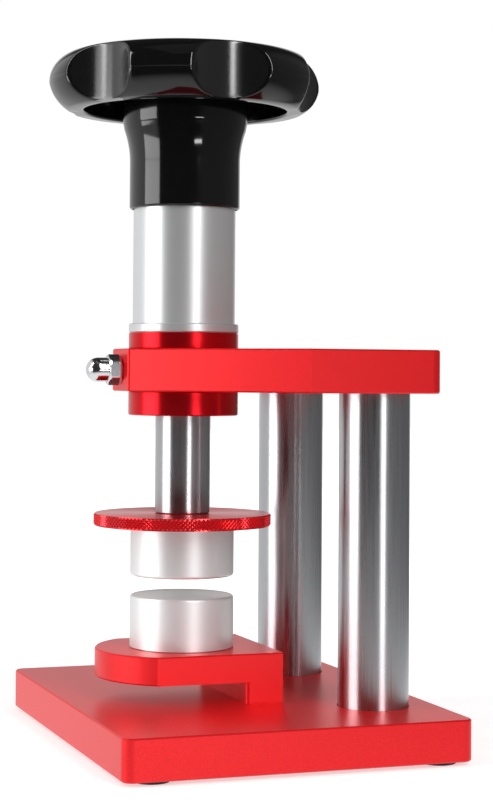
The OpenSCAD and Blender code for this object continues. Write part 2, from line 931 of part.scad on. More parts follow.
base_plate();
foot(-1, 1);  // foot_front_left
foot(-1, -1);  // foot_front_right
foot(1, 1);  // foot_back_left
foot(1, -1);  // foot_back_right
column(1);  // column_left
column(-1);  // column_right
column_screw_base(1);  // column_screw_base_left
column_screw_base(-1);  // column_screw_base_right
column_screw_arm(1);  // column_screw_arm_left
column_screw_arm(-1);  // column_screw_arm_right
arm();
guide_bush();
ring_nut();
spindle_sleeve();
spindle_nut();
lock_screw();
dome_nut();
table();
table_screw(1);  // table_screw_left
table_screw(-1);  // table_screw_right
lower_die();
thrust_ball();
spindle();
handwheel();
wheel_insert();
wheel_washer();
wheel_screw();
die_holder();
retainer(1);  // retainer_left
retainer(-1);  // retainer_right
upper_die();
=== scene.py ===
# %% [markdown]
# A spindle press is a small bench tool for watch work. The person turns the black wheel, the
# spindle screws down through the arm, and the upper die presses the work against the lower one.
# The construction arrives finished, as solids of the real size. This lesson dresses it: it gives
# every part the surface that its making leaves, and models anew the two pieces whose charm is in
# their small forms, the lobed wheel and the knurled disc.

# %% Load the construction
import math

import bpy
from mathutils import Matrix, Vector


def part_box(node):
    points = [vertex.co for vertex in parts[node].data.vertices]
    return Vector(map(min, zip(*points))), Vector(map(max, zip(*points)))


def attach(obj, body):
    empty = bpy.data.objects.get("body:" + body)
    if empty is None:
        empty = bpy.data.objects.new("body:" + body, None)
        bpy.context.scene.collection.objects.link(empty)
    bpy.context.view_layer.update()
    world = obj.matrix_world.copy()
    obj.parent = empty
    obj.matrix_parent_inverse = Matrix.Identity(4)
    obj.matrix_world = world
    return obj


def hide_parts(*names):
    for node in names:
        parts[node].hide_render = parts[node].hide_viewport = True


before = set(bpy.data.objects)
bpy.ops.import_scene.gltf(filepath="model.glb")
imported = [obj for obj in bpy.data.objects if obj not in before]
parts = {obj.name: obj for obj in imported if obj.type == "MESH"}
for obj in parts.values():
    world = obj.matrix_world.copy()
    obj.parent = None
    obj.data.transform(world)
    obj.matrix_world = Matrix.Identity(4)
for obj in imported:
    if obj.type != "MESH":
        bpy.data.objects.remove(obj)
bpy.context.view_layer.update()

# %% [markdown]
# Everything that turns shares one upright axis, the spindle's. Its place is read from the
# spindle's own box, so each new piece lands on the axis by itself. Sizes are written in
# millimetres and turned to metres by one factor.

# %% Find the axis and the base
MM = 0.001


def middle(name):
    """The middle of a part's box."""
    low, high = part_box(name)
    return (low + high) / 2


axis_x = middle("spindle").x
base_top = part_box("base_plate")[1].z
print("axis at x = %.2f mm, base top at %.2f mm" % (axis_x / MM, base_top / MM))

# %% [markdown]
# The camera stands where the photographer's stood: almost level with the arm, a little over half
# a metre away and to the left. A long lens keeps the columns nearly parallel. The lens is shifted
# a little, because the photograph was cropped off centre.

# %% Place the camera
PHOTO_HEIGHT = 800
PHOTO_WIDTH = 493
LENS = 87.9
SENSOR_WIDTH = 36
LENS_CENTRE_X = 239.8
LENS_CENTRE_Y = 332.5
CAMERA_FROM_AXIS = Vector((-173.4, -540.6, 92.8)) * MM
CAMERA_YAW = math.radians(19.43)
CAMERA_TILT_UP = math.radians(1.22)
CAMERA_ROLL = math.radians(0.415)

camera_data = bpy.data.cameras.new("camera")
camera_data.lens = LENS
camera_data.sensor_width = SENSOR_WIDTH
camera_data.shift_x = (PHOTO_WIDTH / 2 - LENS_CENTRE_X) / PHOTO_HEIGHT
camera_data.shift_y = (LENS_CENTRE_Y - PHOTO_HEIGHT / 2) / PHOTO_HEIGHT
camera_data.clip_start = 10 * MM
camera = bpy.data.objects.new("camera", camera_data)
bpy.context.collection.objects.link(camera)
turn = Matrix.Rotation(-CAMERA_YAW, 4, "Z") @ Matrix.Rotation(math.pi / 2 + CAMERA_TILT_UP, 4, "X")
stand = Vector((axis_x, 0, base_top)) + CAMERA_FROM_AXIS
camera.matrix_world = Matrix.Translation(stand) @ turn @ Matrix.Rotation(CAMERA_ROLL, 4, "Z")
bpy.context.scene.camera = camera
print("camera at", [round(v / MM, 1) for v in stand], "mm")

# %% [markdown]
# Materials are built from nodes, from the patterns to the shader. One small function adds a node,
# sets its sockets and links what it takes in. Another turns the colours, which are written as hex,
# into the linear numbers that shaders use.

# %% Helpers for materials


def linear(hex_colour):
    """An sRGB hex colour as linear red, green, blue and alpha, by the sRGB standard's curve."""
    levels = [int(hex_colour[i:i + 2], 16) / 255 for i in (1, 3, 5)]
    return [v / 12.92 if v <= 0.04045 else ((v + 0.055) / 1.055) ** 2.4 for v in levels] + [1.0]


def add_node(tree, kind, values=None, links=None, **settings):
    """Adds a node of this kind; values go to its sockets, links name (node, output) pairs."""
    node = tree.nodes.new(kind)
    for name, value in settings.items():
        setattr(node, name, value)
    for socket, value in (values or {}).items():
        node.inputs[socket].default_value = value
    for socket, (source, output) in (links or {}).items():
        tree.links.new(source.outputs[output], node.inputs[socket])
    return node


def empty_tree(owner):
    """The node tree of a material or a world, without any nodes."""
    owner.use_nodes = True
    owner.node_tree.nodes.clear()
    return owner.node_tree


def start_material(name):
    """A new material and its empty tree."""
    material = bpy.data.materials.new(name)
    return material, empty_tree(material)


def end_material(tree, values, links):
    """Gives a material its one Principled shader, which takes in the patterns, and its output."""
    shader = add_node(tree, "ShaderNodeBsdfPrincipled", values, links)
    add_node(tree, "ShaderNodeOutputMaterial", links={"Surface": (shader, "BSDF")})


# %% [markdown]
# Two patterns do for all the finishes. Grain is noise in all directions, which can be drawn out
# into streaks. Turning lines are noise that changes only with the distance from the axis and with
# the height, so it forms the rings that a lathe tool leaves on sides and faces alike.

# %% Patterns


def grain(tree, size, detail=2.0, stretch=(1, 1, 1)):
    """Noise whose grains are about size metres across; stretch draws them out along an axis."""
    place = add_node(tree, "ShaderNodeTexCoord")
    scaled = add_node(
        tree,
        "ShaderNodeMapping",
        {"Scale": [1 / size / s for s in stretch]},
        {"Vector": (place, "Object")},
    )
    return add_node(
        tree,
        "ShaderNodeTexNoise",
        {"Scale": 1.0, "Detail": detail},
        {"Vector": (scaled, "Vector")},
    )


def turning_lines(tree, pitch):
    """Noise in rings round the spindle's axis, about pitch metres apart."""
    place = add_node(tree, "ShaderNodeTexCoord")
    centred = add_node(
        tree, "ShaderNodeMapping", {"Location": (-axis_x, 0, 0)}, {"Vector": (place, "Object")}
    )
    split = add_node(tree, "ShaderNodeSeparateXYZ", links={0: (centred, "Vector")})
    flat = add_node(tree, "ShaderNodeCombineXYZ", links={"X": (split, "X"), "Y": (split, "Y")})
    radius = add_node(
        tree, "ShaderNodeVectorMath", links={0: (flat, "Vector")}, operation="LENGTH"
    )
    along = add_node(
        tree, "ShaderNodeMath", links={0: (radius, "Value"), 1: (split, "Z")}, operation="ADD"
    )
    return add_node(
        tree,
        "ShaderNodeTexNoise",
        {"Scale": 1 / pitch, "Detail": 3.0},
        {"W": (along, "Value")},
        noise_dimensions="1D",
    )


# Most of a noise lies in this range, which Map Range spreads over the levels that are wanted
NOISE_RANGE = {"From Min": 0.3, "From Max": 0.7}

# %% [markdown]
# The plates are aluminium, bead-blasted and then anodised red. Blasting leaves a fine sparkling
# grain, and the dyed oxide over bare metal gives a deep colour with a soft sheen. Real blasting
# dimples are about a tenth of a millimetre wide. They are drawn twice as wide, so that they show
# at all. One noise drives both the bump and a slight change of the red, so the lighter specks sit
# on the dimples' rims.

# %% Red anodised, blasted
blasted_red, tree = start_material("red_anodised_blasted_aluminium")
dimples = grain(tree, size=0.2 * MM)
sparkle = add_node(tree, "ShaderNodeMapRange", NOISE_RANGE, {"Value": (dimples, "Fac")})
reds = add_node(
    tree,
    "ShaderNodeMix",
    {"A": linear("#e00d14"), "B": linear("#f61e25")},
    {"Factor": (sparkle, "Result")},
    data_type="RGBA",
)
relief = add_node(tree, "ShaderNodeBump", {"Distance": 0.004 * MM}, {"Height": (dimples, "Fac")})
end_material(
    tree,
    {"Metallic": 0.45, "Roughness": 0.34},
    {"Base Color": (reds, "Result"), "Normal": (relief, "Normal")},
)
print("made", blasted_red.name)

# %% [markdown]
# The bush, its ring nut and the die holder are turned on a lathe before they are dyed, so they
# are glossier than the plates and carry fine rings. Rings scatter light up and down but hardly
# sideways, so each reflection becomes a long upright streak. The shader's anisotropy does this.
# It scatters along its tangent, which here runs round the axis, so a quarter turn makes that
# upright.

# %% Red anodised, turned
UPRIGHT = {"Anisotropic Rotation": 0.25}
ROUND_AXIS = {"direction_type": "RADIAL", "axis": "Z"}

turned_red, tree = start_material("red_anodised_turned_aluminium")
rings = turning_lines(tree, pitch=0.12 * MM)
relief = add_node(tree, "ShaderNodeBump", {"Distance": 0.002 * MM}, {"Height": (rings, "Fac")})
tangent = add_node(tree, "ShaderNodeTangent", **ROUND_AXIS)
end_material(
    tree,
    {
        "Base Color": linear("#d8121d"),
        "Metallic": 0.85,
        "Roughness": 0.3,
        "Anisotropic": 0.7,
        **UPRIGHT,
    },
    {"Normal": (relief, "Normal"), "Tangent": (tangent, "Tangent")},
)
print("made", turned_red.name)

# %% [markdown]
# The knurl's teeth are rolled into the disc's edge before it is dyed. Rolling burnishes their
# small flats, and their red is lighter than the turned faces', a painted sheen for the light those
# flats catch; they glitter as the disc turns. The teeth are modelled as real pyramids, so the
# finish itself needs no pattern.

# %% Red anodised, knurled
knurl_red_with_painted_sheen, tree = start_material("red_anodised_knurl")
# The red is lighter than the turned parts', a painted sheen on the teeth
end_material(tree, {"Base Color": linear("#e22a31"), "Metallic": 0.6, "Roughness": 0.14}, {})
print("made", knurl_red_with_painted_sheen.name)

# %% [markdown]
# The sleeve and the dies are bare aluminium, turned to a satin finish. Their rings draw the
# reflections out into upright bands, as on the red turned parts. The dies are turned finer than
# the sleeve, so they look lighter and more even. One small recipe makes both.

# %% Satin turned aluminium


def turned_aluminium(name, tone, roughness, scatter):
    """Bare turned aluminium; scatter says how far its reflections are drawn out."""
    material, tree = start_material(name)
    rings = turning_lines(tree, pitch=0.15 * MM)
    relief = add_node(
        tree, "ShaderNodeBump", {"Distance": 0.0015 * MM}, {"Height": (rings, "Fac")}
    )
    tangent = add_node(tree, "ShaderNodeTangent", **ROUND_AXIS)
    end_material(
        tree,
        {
            "Base Color": linear(tone),
            "Metallic": 0.75,
            "Roughness": roughness,
            "Anisotropic": scatter,
            **UPRIGHT,
        },
        {"Normal": (relief, "Normal"), "Tangent": (tangent, "Tangent")},
    )
    print("made", name)
    return material


satin_aluminium = turned_aluminium("satin_turned_aluminium", "#dfe0e1", 0.38, 0.5)
fine_aluminium = turned_aluminium("fine_turned_aluminium", "#eff0f0", 0.46, 0.3)

# %% [markdown]
# The columns and the spindle are drawn steel, ground and polished all round. The polishing lines
# run round the bar, so reflections stand upright on it, too. Drawing leaves faint streaks along
# the bar, and the gloss changes a little from streak to streak. Real streaks are a tenth of a
# millimetre wide; they are drawn wider, so that they show.

# %% Polished drawn steel
drawn_steel, tree = start_material("polished_drawn_steel")
streaks = grain(tree, size=0.5 * MM, detail=3.0, stretch=(1, 1, 60))
gloss = add_node(
    tree,
    "ShaderNodeMapRange",
    {**NOISE_RANGE, "To Min": 0.25, "To Max": 0.33},
    {"Value": (streaks, "Fac")},
)
relief = add_node(tree, "ShaderNodeBump", {"Distance": 0.0008 * MM}, {"Height": (streaks, "Fac")})
tangent = add_node(tree, "ShaderNodeTangent", **ROUND_AXIS)
end_material(
    tree,
    {"Base Color": linear("#b9babd"), "Metallic": 1.0, "Anisotropic": 0.8, **UPRIGHT},
    {
        "Roughness": (gloss, "Result"),
        "Normal": (relief, "Normal"),
        "Tangent": (tangent, "Tangent"),
    },
)
print("made", drawn_steel.name)

# %% [markdown]
# The wheel is a thermosetting moulding: hard, black and glossy as glass. Such a moulding shrinks
# a little unevenly, so slow and very low waves keep its reflections from being perfect.

# %% Glossy black moulding
black_moulding, tree = start_material("black_thermoset_moulding")
waves = grain(tree, size=7 * MM, detail=1.0)
relief = add_node(tree, "ShaderNodeBump", {"Distance": 0.01 * MM}, {"Height": (waves, "Fac")})
end_material(
    tree,
    {"Base Color": linear("#0b0b0c"), "Metallic": 0.0, "Roughness": 0.09},
    {"Normal": (relief, "Normal")},
)
print("made", black_moulding.name)

# %% [markdown]
# The wheel's finger hollows are ground after moulding, so they carry fine level lines that run
# round them. These draw every reflection out into a tall upright streak. Grinding grit leaves
# lines about a tenth of a millimetre apart. They are drawn twice as far apart, so that they show.

# %% Black moulding, ground
ground_moulding, tree = start_material("black_thermoset_ground")
lines = grain(tree, size=0.22 * MM, stretch=(8, 8, 1))
relief = add_node(tree, "ShaderNodeBump", {"Distance": 0.018 * MM}, {"Height": (lines, "Fac")})
tangent = add_node(tree, "ShaderNodeTangent", **ROUND_AXIS)
end_material(
    tree,
    {
        "Base Color": linear("#0d0d0e"),
        "Metallic": 0.0,
        "Roughness": 0.24,
        "Anisotropic": 0.9,
        "Specular IOR Level": 1.0,
        **UPRIGHT,
    },
    {"Normal": (relief, "Normal"), "Tangent": (tangent, "Tangent")},
)
print("made", ground_moulding.name)

# %% [markdown]
# The dome nut and the thrust ball are chromed. Plating follows the polished metal below it, so
# the mirror is bright but waves a little, on a scale of one or two millimetres.

# %% Chrome plate
chrome_plate, tree = start_material("chrome_plate")
waves = grain(tree, size=1.5 * MM)
relief = add_node(tree, "ShaderNodeBump", {"Distance": 0.004 * MM}, {"Height": (waves, "Fac")})
end_material(
    tree,
    {"Base Color": linear("#dfe0e2"), "Metallic": 1.0, "Roughness": 0.14},
    {"Normal": (relief, "Normal")},
)
print("made", chrome_plate.name)

# %% [markdown]
# The screws are zinc-plated steel, grey and slightly cloudy: zinc grows in patches of about a
# millimetre that differ in gloss.

# %% Zinc plate
zinc_plate, tree = start_material("zinc_plated_steel")
patches = grain(tree, size=1.0 * MM, detail=4.0)
gloss = add_node(
    tree,
    "ShaderNodeMapRange",
    {**NOISE_RANGE, "To Min": 0.24, "To Max": 0.42},
    {"Value": (patches, "Fac")},
)
end_material(
    tree,
    {"Base Color": linear("#a9abae"), "Metallic": 1.0},
    {"Roughness": (gloss, "Result")},
)
print("made", zinc_plate.name)

# %% [markdown]
# The nut in the sleeve is turned bearing bronze, a warm yellow brown with lathe rings.

# %% Bearing bronze
bearing_bronze, tree = start_material("bearing_bronze")
rings = turning_lines(tree, pitch=0.15 * MM)
relief = add_node(tree, "ShaderNodeBump", {"Distance": 0.002 * MM}, {"Height": (rings, "Fac")})
end_material(
    tree,
    {"Base Color": linear("#b98a4a"), "Metallic": 1.0, "Roughness": 0.3},
    {"Normal": (relief, "Normal")},
)
print("made", bearing_bronze.name)

# %% [markdown]
# The feet are moulded rubber, matt and nearly black, with a fine pebbled skin.

# %% Rubber
foot_rubber, tree = start_material("matt_rubber")
pebbles = grain(tree, size=0.3 * MM)
relief = add_node(tree, "ShaderNodeBump", {"Distance": 0.01 * MM}, {"Height": (pebbles, "Fac")})
end_material(
    tree,
    {"Base Color": linear("#2a2a2b"), "Roughness": 0.75},
    {"Normal": (relief, "Normal")},
)
print("made", foot_rubber.name)

# %% [markdown]
# Each part now takes its finish. A list of finishes with the names of their parts keeps this
# readable, and what it doesn't name is a screw or a small steel fitting.

# %% Give every part its finish
finishes = [
    (blasted_red, ["base_plate", "arm", "table"]),
    (turned_red, ["guide_bush", "ring_nut", "die_holder"]),
    (satin_aluminium, ["spindle_sleeve"]),
    (fine_aluminium, ["upper_die", "lower_die"]),
    (drawn_steel, ["column_left", "column_right", "spindle"]),
    (black_moulding, ["handwheel"]),
    (chrome_plate, ["dome_nut", "thrust_ball"]),
    (bearing_bronze, ["spindle_nut"]),
    (foot_rubber, [name for name in parts if name.startswith("foot_")]),
]
named = {name for material, names in finishes for name in names}
finishes.append((zinc_plate, [name for name in parts if name not in named]))

for material, names in finishes:
    for name in names:
        parts[name].data.materials.clear()
        parts[name].data.materials.append(material)
    print(material.name, "on", ", ".join(names))

# %% [markdown]
# The handwheel is the piece that the hand meets. Its outline is drawn once as a half section, a
# chain of straight lines and arcs round rim, web and hub, and spun round the axis. It could be
# stacked from rings and discs, but a spun section keeps every arc true and easy to change. The
# section is listed corner by corner, and each corner says how much it is rounded.

# %% Helpers for half sections


def arc(centre_r, centre_z, radius, start, stop, count):
    """Points on an arc, from start to stop in degrees, as (r, z, rounding) corners."""
    corners = []
    for i in range(count + 1):
        a = math.radians(start + (stop - start) * i / count)
        corners.append((centre_r + radius * math.cos(a), centre_z + radius * math.sin(a), 0))
    return corners


def round_corners(corners, steps=4):
    """Replaces each corner that has a rounding by points on a small arc."""
    outline = []
    for i, (r, z, rounding) in enumerate(corners):
        here = Vector((r, z))
        if not rounding:
            outline.append(here)
            continue
        before = (Vector(corners[i - 1][:2]) - here).normalized()
        after = (Vector(corners[(i + 1) % len(corners)][:2]) - here).normalized()
        half = before.angle(after) / 2
        reach = rounding / math.tan(half)
        centre = here + (before + after).normalized() * rounding / math.sin(half)
        first = here + before * reach - centre
        last = here + after * reach - centre
        for k in range(steps + 1):
            outline.append(centre + first.lerp(last, k / steps).normalized() * rounding)
    return outline


def spin_section(name, outline, steps):
    """Draws a closed half section by extruding a vertex from corner to corner, and spins it."""
    bpy.ops.object.select_all(action="DESELECT")
    bpy.ops.mesh.primitive_plane_add(size=MM, location=(0, 0, 0))
    piece = bpy.context.object
    piece.name = name
    bpy.ops.object.mode_set(mode="EDIT")
    bpy.ops.mesh.merge(type="CENTER")
    points = [Vector((axis_x + p.x * MM, 0, p.y * MM)) for p in outline]
    bpy.ops.transform.translate(value=points[0])
    for before, after in zip(points, points[1:]):
        bpy.ops.mesh.extrude_vertices_move(TRANSFORM_OT_translate={"value": after - before})
    bpy.ops.mesh.select_all(action="SELECT")
    # A face over the whole outline is the simplest way to close it, and only its edges are kept
    bpy.ops.mesh.edge_face_add()
    bpy.ops.mesh.delete(type="ONLY_FACE")
    bpy.ops.mesh.select_all(action="SELECT")
    bpy.ops.mesh.spin(
        steps=steps, angle=2 * math.pi, center=(axis_x, 0, 0), axis=(0, 0, 1), use_auto_merge=True
    )
    bpy.ops.mesh.select_all(action="SELECT")
    bpy.ops.mesh.remove_doubles(threshold=0.002 * MM)
    bpy.ops.mesh.normals_make_consistent(inside=False)
    bpy.ops.object.mode_set(mode="OBJECT")
    return piece


# %% [markdown]
# The wheel's sizes are in millimetres. R stands for a radius from the axis, H for a height, T for
# a thickness, and ROUND for the radius of an arc in the section. FROM, TO and TRIM are degrees on
# an arc. LINE is the fine raised line that the mould's two halves leave where they meet: its feet
# lie a little further in, and below and above its edge.

# %% Sizes of the handwheel
WHEEL_R = 39.7
RIM_H = 16.4
PARTING_H = 7.7
CREST_FROM = 5
SLOPE_WIDTH = 5.9
SLOPE_ROUND = 10.5
SLOPE_TRIM = 2
OPENING_R = 29.5
OPENING_ROUND = 0.6
DISH_R = 26.0
DISH_DEPTH = 1.8
TOP_ROUND = 0.4
WEB_T = 6.0
WEB_ROUND = 2.5
INNER_WALL_R = 18.3
SWELL_R = 18.1
SWELL_ROUND = 5.0
SWELL_DROP = 2.7
SWELL_H = 1.6
SWELL_TO = -3
FLARE_DROP = 12.2
FLARE_H = 9.6
FLARE_ROUND = 28
HUB_R = 16.0
HUB_ROUND = 0.75
HUB_BORE_R = 15.2
HUB_BORE_ROUND = 0.15
RING_R = 14.0
POCKET_R = 12.0
INSERT_R = 11.05
FLANGE_R = 14.05
FLANGE_T = 2
LINE_IN_BELOW = 0.11
LINE_DOWN = 0.22
LINE_IN_ABOVE = 0.1
LINE_UP = 0.2
SPIN_STEPS = 576
print("handwheel: %.1f mm across, rim %.1f mm high" % (2 * WHEEL_R, RIM_H))

# %% [markdown]
# The heights hang from the wheel's own box and its insert's. The rim's slope is an arc through two
# known corners, so its centre lies on the line that halves the chord between them.

# %% Heights and arcs of the handwheel
low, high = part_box("handwheel")
hub_z = low.z / MM
top_z = high.z / MM
rim_z = top_z - RIM_H
parting_z = rim_z + PARTING_H
dish_z = top_z - DISH_DEPTH
web_z = top_z - DISH_DEPTH - WEB_T
seat_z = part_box("wheel_insert")[0].z / MM
insert_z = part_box("wheel_insert")[1].z / MM

chord = math.hypot(SLOPE_WIDTH, PARTING_H)
leg = math.sqrt(SLOPE_ROUND ** 2 - (chord / 2) ** 2)
slope_r = WHEEL_R - SLOPE_WIDTH / 2 - leg * PARTING_H / chord
slope_z = rim_z + PARTING_H / 2 + leg * SLOPE_WIDTH / chord
slope_from = math.degrees(math.atan2(rim_z - slope_z, WHEEL_R - SLOPE_WIDTH - slope_r))
slope_to = math.degrees(math.atan2(parting_z - slope_z, WHEEL_R - slope_r))

swell_z = rim_z - SWELL_DROP
swell_mid = SWELL_R - SWELL_ROUND
swell_from = -math.degrees(math.asin(SWELL_H / SWELL_ROUND))
flare_z = swell_z - FLARE_DROP
flare_to = 180 - math.degrees(math.asin(FLARE_H / FLARE_ROUND))
crest_r = RIM_H - PARTING_H
print("rim from %.1f to %.1f mm, hub down to %.1f mm" % (rim_z, top_z, hub_z))

# %% [markdown]
# The chain starts at the hub's mouth, climbs the flared outside of the hub, goes over the hollow
# under the web and round the rim, and comes back down through the pocket and the insert's seat.

# %% Half section of the handwheel
section = [(HUB_BORE_R, hub_z, HUB_BORE_ROUND)]
section += arc(HUB_R - HUB_ROUND, hub_z + HUB_ROUND, HUB_ROUND, -90, 0, 6)
section += arc(HUB_R + FLARE_ROUND, flare_z, FLARE_ROUND, 180, flare_to, 10)
section += arc(swell_mid, swell_z, SWELL_ROUND, swell_from, SWELL_TO, 10)
section += arc(INNER_WALL_R + WEB_ROUND, web_z - WEB_ROUND, WEB_ROUND, 180, 90, 6)
section += arc(OPENING_R - WEB_ROUND, web_z - WEB_ROUND, WEB_ROUND, 90, 0, 6)
section += [(OPENING_R, rim_z, OPENING_ROUND)]
section += arc(
    slope_r, slope_z, SLOPE_ROUND, slope_from + SLOPE_TRIM, slope_to - SLOPE_TRIM, 20
)
section += [
    (WHEEL_R - LINE_IN_BELOW, parting_z - LINE_DOWN, 0),
    (WHEEL_R, parting_z, 0),
    (WHEEL_R - LINE_IN_ABOVE, parting_z + LINE_UP, 0),
]
section += arc(WHEEL_R - crest_r, parting_z, crest_r, CREST_FROM, 90, 26)
section += [
    (DISH_R, top_z, TOP_ROUND),
    (DISH_R, dish_z, TOP_ROUND),
    (RING_R, dish_z, TOP_ROUND),
    (RING_R, top_z, TOP_ROUND),
    (POCKET_R, top_z, TOP_ROUND),
    (POCKET_R, insert_z, 0),
    (INSERT_R, insert_z, 0),
    (INSERT_R, seat_z + FLANGE_T, 0),
    (FLANGE_R, seat_z + FLANGE_T, 0),
    (FLANGE_R, seat_z, 0),
    (HUB_BORE_R, seat_z, 0),
]
outline = round_corners(section)
wheel = spin_section("lobed_handwheel", outline, SPIN_STEPS)
print("handwheel:", len(outline), "points spun to", len(wheel.data.vertices), "vertices")

# %% [markdown]
# Six finger hollows are cut into the rim by an upright grinding drum. A Boolean would leave edges
# like a razor's, which a bevel can't follow on so fine a mesh. So the rim's points are pushed in
# to the drum's surface instead, by a soft minimum of the two radii, which leaves the worn, rounded
# edges that the real hollows have.

# %% Press the finger hollows
LOBES = 6
HOLLOW_R = 17.1
HOLLOW_DEPTH = 6.3
HOLLOW_ANGLE = 32.0
EDGE_SOFTNESS = 0.28
# Points this close to the opening, or this close to the flat top, stay where they are
OPENING_MARGIN = 0.7
TOP_MARGIN = 0.001
# A point that is pushed in by more than twice this gap shows the grinding
GROUND_GAP = 0.25

drum_distance = WHEEL_R - HOLLOW_DEPTH + HOLLOW_R
half_lobe = 180 / LOBES
ground = set()
for vertex in wheel.data.vertices:
    x = (vertex.co.x - axis_x) / MM
    y = vertex.co.y / MM
    radius = math.hypot(x, y)
    if radius < OPENING_R + OPENING_MARGIN or vertex.co.z / MM > top_z - TOP_MARGIN:
        continue
    from_drum = math.degrees(math.atan2(y, x)) - HOLLOW_ANGLE
    from_drum = math.radians((from_drum + half_lobe) % (2 * half_lobe) - half_lobe)
    under_root = HOLLOW_R ** 2 - (drum_distance * math.sin(from_drum)) ** 2
    if under_root <= 0:
        continue
    drum = drum_distance * math.cos(from_drum) - math.sqrt(under_root)
    half_gap = (radius - drum) / 2
    pushed = (radius + drum) / 2 - math.sqrt(half_gap ** 2 + EDGE_SOFTNESS ** 2)
    vertex.co.x = axis_x + x * pushed / radius * MM
    vertex.co.y = y * pushed / radius * MM
    if half_gap > GROUND_GAP:
        ground.add(vertex.index)
print("points in the hollows:", len(ground))

# %% [markdown]
# The wheel takes the glossy finish all over and the ground finish in its hollows. It stands in
# for the plain handwheel and turns with the spindle.

# %% Finish the handwheel
WHEEL_SMOOTH = math.radians(40)


def only_select(piece):
    """Leaves just this object selected and active."""
    bpy.ops.object.select_all(action="DESELECT")
    piece.select_set(True)
    bpy.context.view_layer.objects.active = piece


wheel.data.materials.append(black_moulding)
wheel.data.materials.append(ground_moulding)
for face in wheel.data.polygons:
    if all(v in ground for v in face.vertices):
        face.material_index = 1
only_select(wheel)
bpy.ops.object.shade_smooth_by_angle(angle=WHEEL_SMOOTH)
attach(wheel, "spindle_group")
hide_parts("handwheel")
print("ground faces:", sum(face.material_index for face in wheel.data.polygons))

# %% [markdown]
# The die holder is a turned disc with a diamond knurl rolled into its edge. The knurling wheels
# press two sets of slanting grooves that cross, so pyramids stand up between them. Here a band of
# 256 faces round the edge is cut into six rows. Every second point is a pyramid's tip and the
# rest are where grooves cross. Each face is then split along its groove. A bump pattern would look
# the same from the front, but it would leave the disc's outline smooth.

# %% Band round the die holder
DISC_R = 25.75 * MM
DISC_T = 3.5 * MM
KNURL_DEPTH = 0.42 * MM
TEETH = 128
ROWS = 6
CLOSE = 0.1 * MM

low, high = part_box("die_holder")
disc_top = high.z
boss_bottom = low.z
disc_bottom = disc_top - DISC_T
bpy.ops.object.select_all(action="DESELECT")
bpy.ops.mesh.primitive_cylinder_add(
    vertices=2 * TEETH,
    radius=DISC_R - KNURL_DEPTH,
    depth=disc_top - disc_bottom,
    end_fill_type="NOTHING",
    location=(axis_x, 0, (disc_top + disc_bottom) / 2),
)
holder = bpy.context.object
holder.name = "knurled_die_holder"
bpy.ops.object.transform_apply(location=True, rotation=True, scale=True)
print("band:", len(holder.data.polygons), "faces")

# %% [markdown]
# Points, edges and faces are picked by their place, as a hand would pick them on the screen. The
# band's columns are counted from its first point, wherever the primitive put that.

# %% Roll the knurl
row_h = (disc_top - disc_bottom) / ROWS
first = holder.data.vertices[0].co
first_column = math.atan2(first.y, first.x - axis_x) / math.pi * TEETH % 1


def select_where(piece, test, kind="VERT"):
    """In edit mode, selects the vertices, edges or faces whose corners pass a test."""
    bpy.ops.mesh.select_mode(type=kind)
    bpy.ops.mesh.select_all(action="DESELECT")
    bpy.ops.object.mode_set(mode="OBJECT")
    mesh = piece.data
    items = {"VERT": mesh.vertices, "EDGE": mesh.edges, "FACE": mesh.polygons}[kind]
    count = 0
    for item in items:
        corners = [item.co] if kind == "VERT" else [mesh.vertices[v].co for v in item.vertices]
        item.select = test(corners)
        count += item.select
    bpy.ops.object.mode_set(mode="EDIT")
    return count


def is_upright(corners):
    return abs(corners[0].z - corners[1].z) > CLOSE


def is_tip(corners):
    """Tips and crossings alternate like the fields of a chessboard; the rims have no tips."""
    place = corners[0]
    if min(place.z - disc_bottom, disc_top - place.z) < CLOSE:
        return False
    column = round(math.atan2(place.y, place.x - axis_x) / math.pi * TEETH - first_column)
    row = round((place.z - disc_bottom) / row_h)
    return (column + row) % 2 == 0


bpy.ops.object.mode_set(mode="EDIT")
select_where(holder, is_upright, "EDGE")
bpy.ops.mesh.subdivide(number_cuts=ROWS - 1)
tips = select_where(holder, is_tip)
raised = DISC_R / (DISC_R - KNURL_DEPTH)
bpy.ops.transform.resize(value=(raised, raised, 1), center_override=(axis_x, 0, 0))
select_where(holder, lambda corners: not is_tip(corners))
bpy.ops.mesh.vert_connect()
print("pyramids:", tips)

# %% [markdown]
# The rest of the holder grows out of the band's two rims. Each rim is extruded and scaled, step by
# step: the face, drawn in a little so that the teeth end in a chamfer, and then the bore above or
# the boss below.

# %% Faces, bore and boss of the die holder
FACE_R = 25.1 * MM
BORE_R = 5.06 * MM
BALL_GAP = 0.06 * MM
BOSS_R = 10.0 * MM
BOSS_CHAMFER = 0.3 * MM
SAME_HEIGHT = 0.01 * MM


def grow_rim(piece, z, steps):
    """Extrudes the open rim at height z through (radius, height) steps, and closes the last."""
    select_where(piece, lambda corners: all(abs(c.z - z) < SAME_HEIGHT for c in corners), "EDGE")
    radius = DISC_R - KNURL_DEPTH
    height = z
    for new_radius, new_height in steps:
        bpy.ops.mesh.extrude_edges_move(
            TRANSFORM_OT_translate={"value": (0, 0, new_height - height)}
        )
        scale = new_radius / radius
        bpy.ops.transform.resize(value=(scale, scale, 1), center_override=(axis_x, 0, 0))
        radius = new_radius
        height = new_height
    bpy.ops.mesh.edge_face_add()


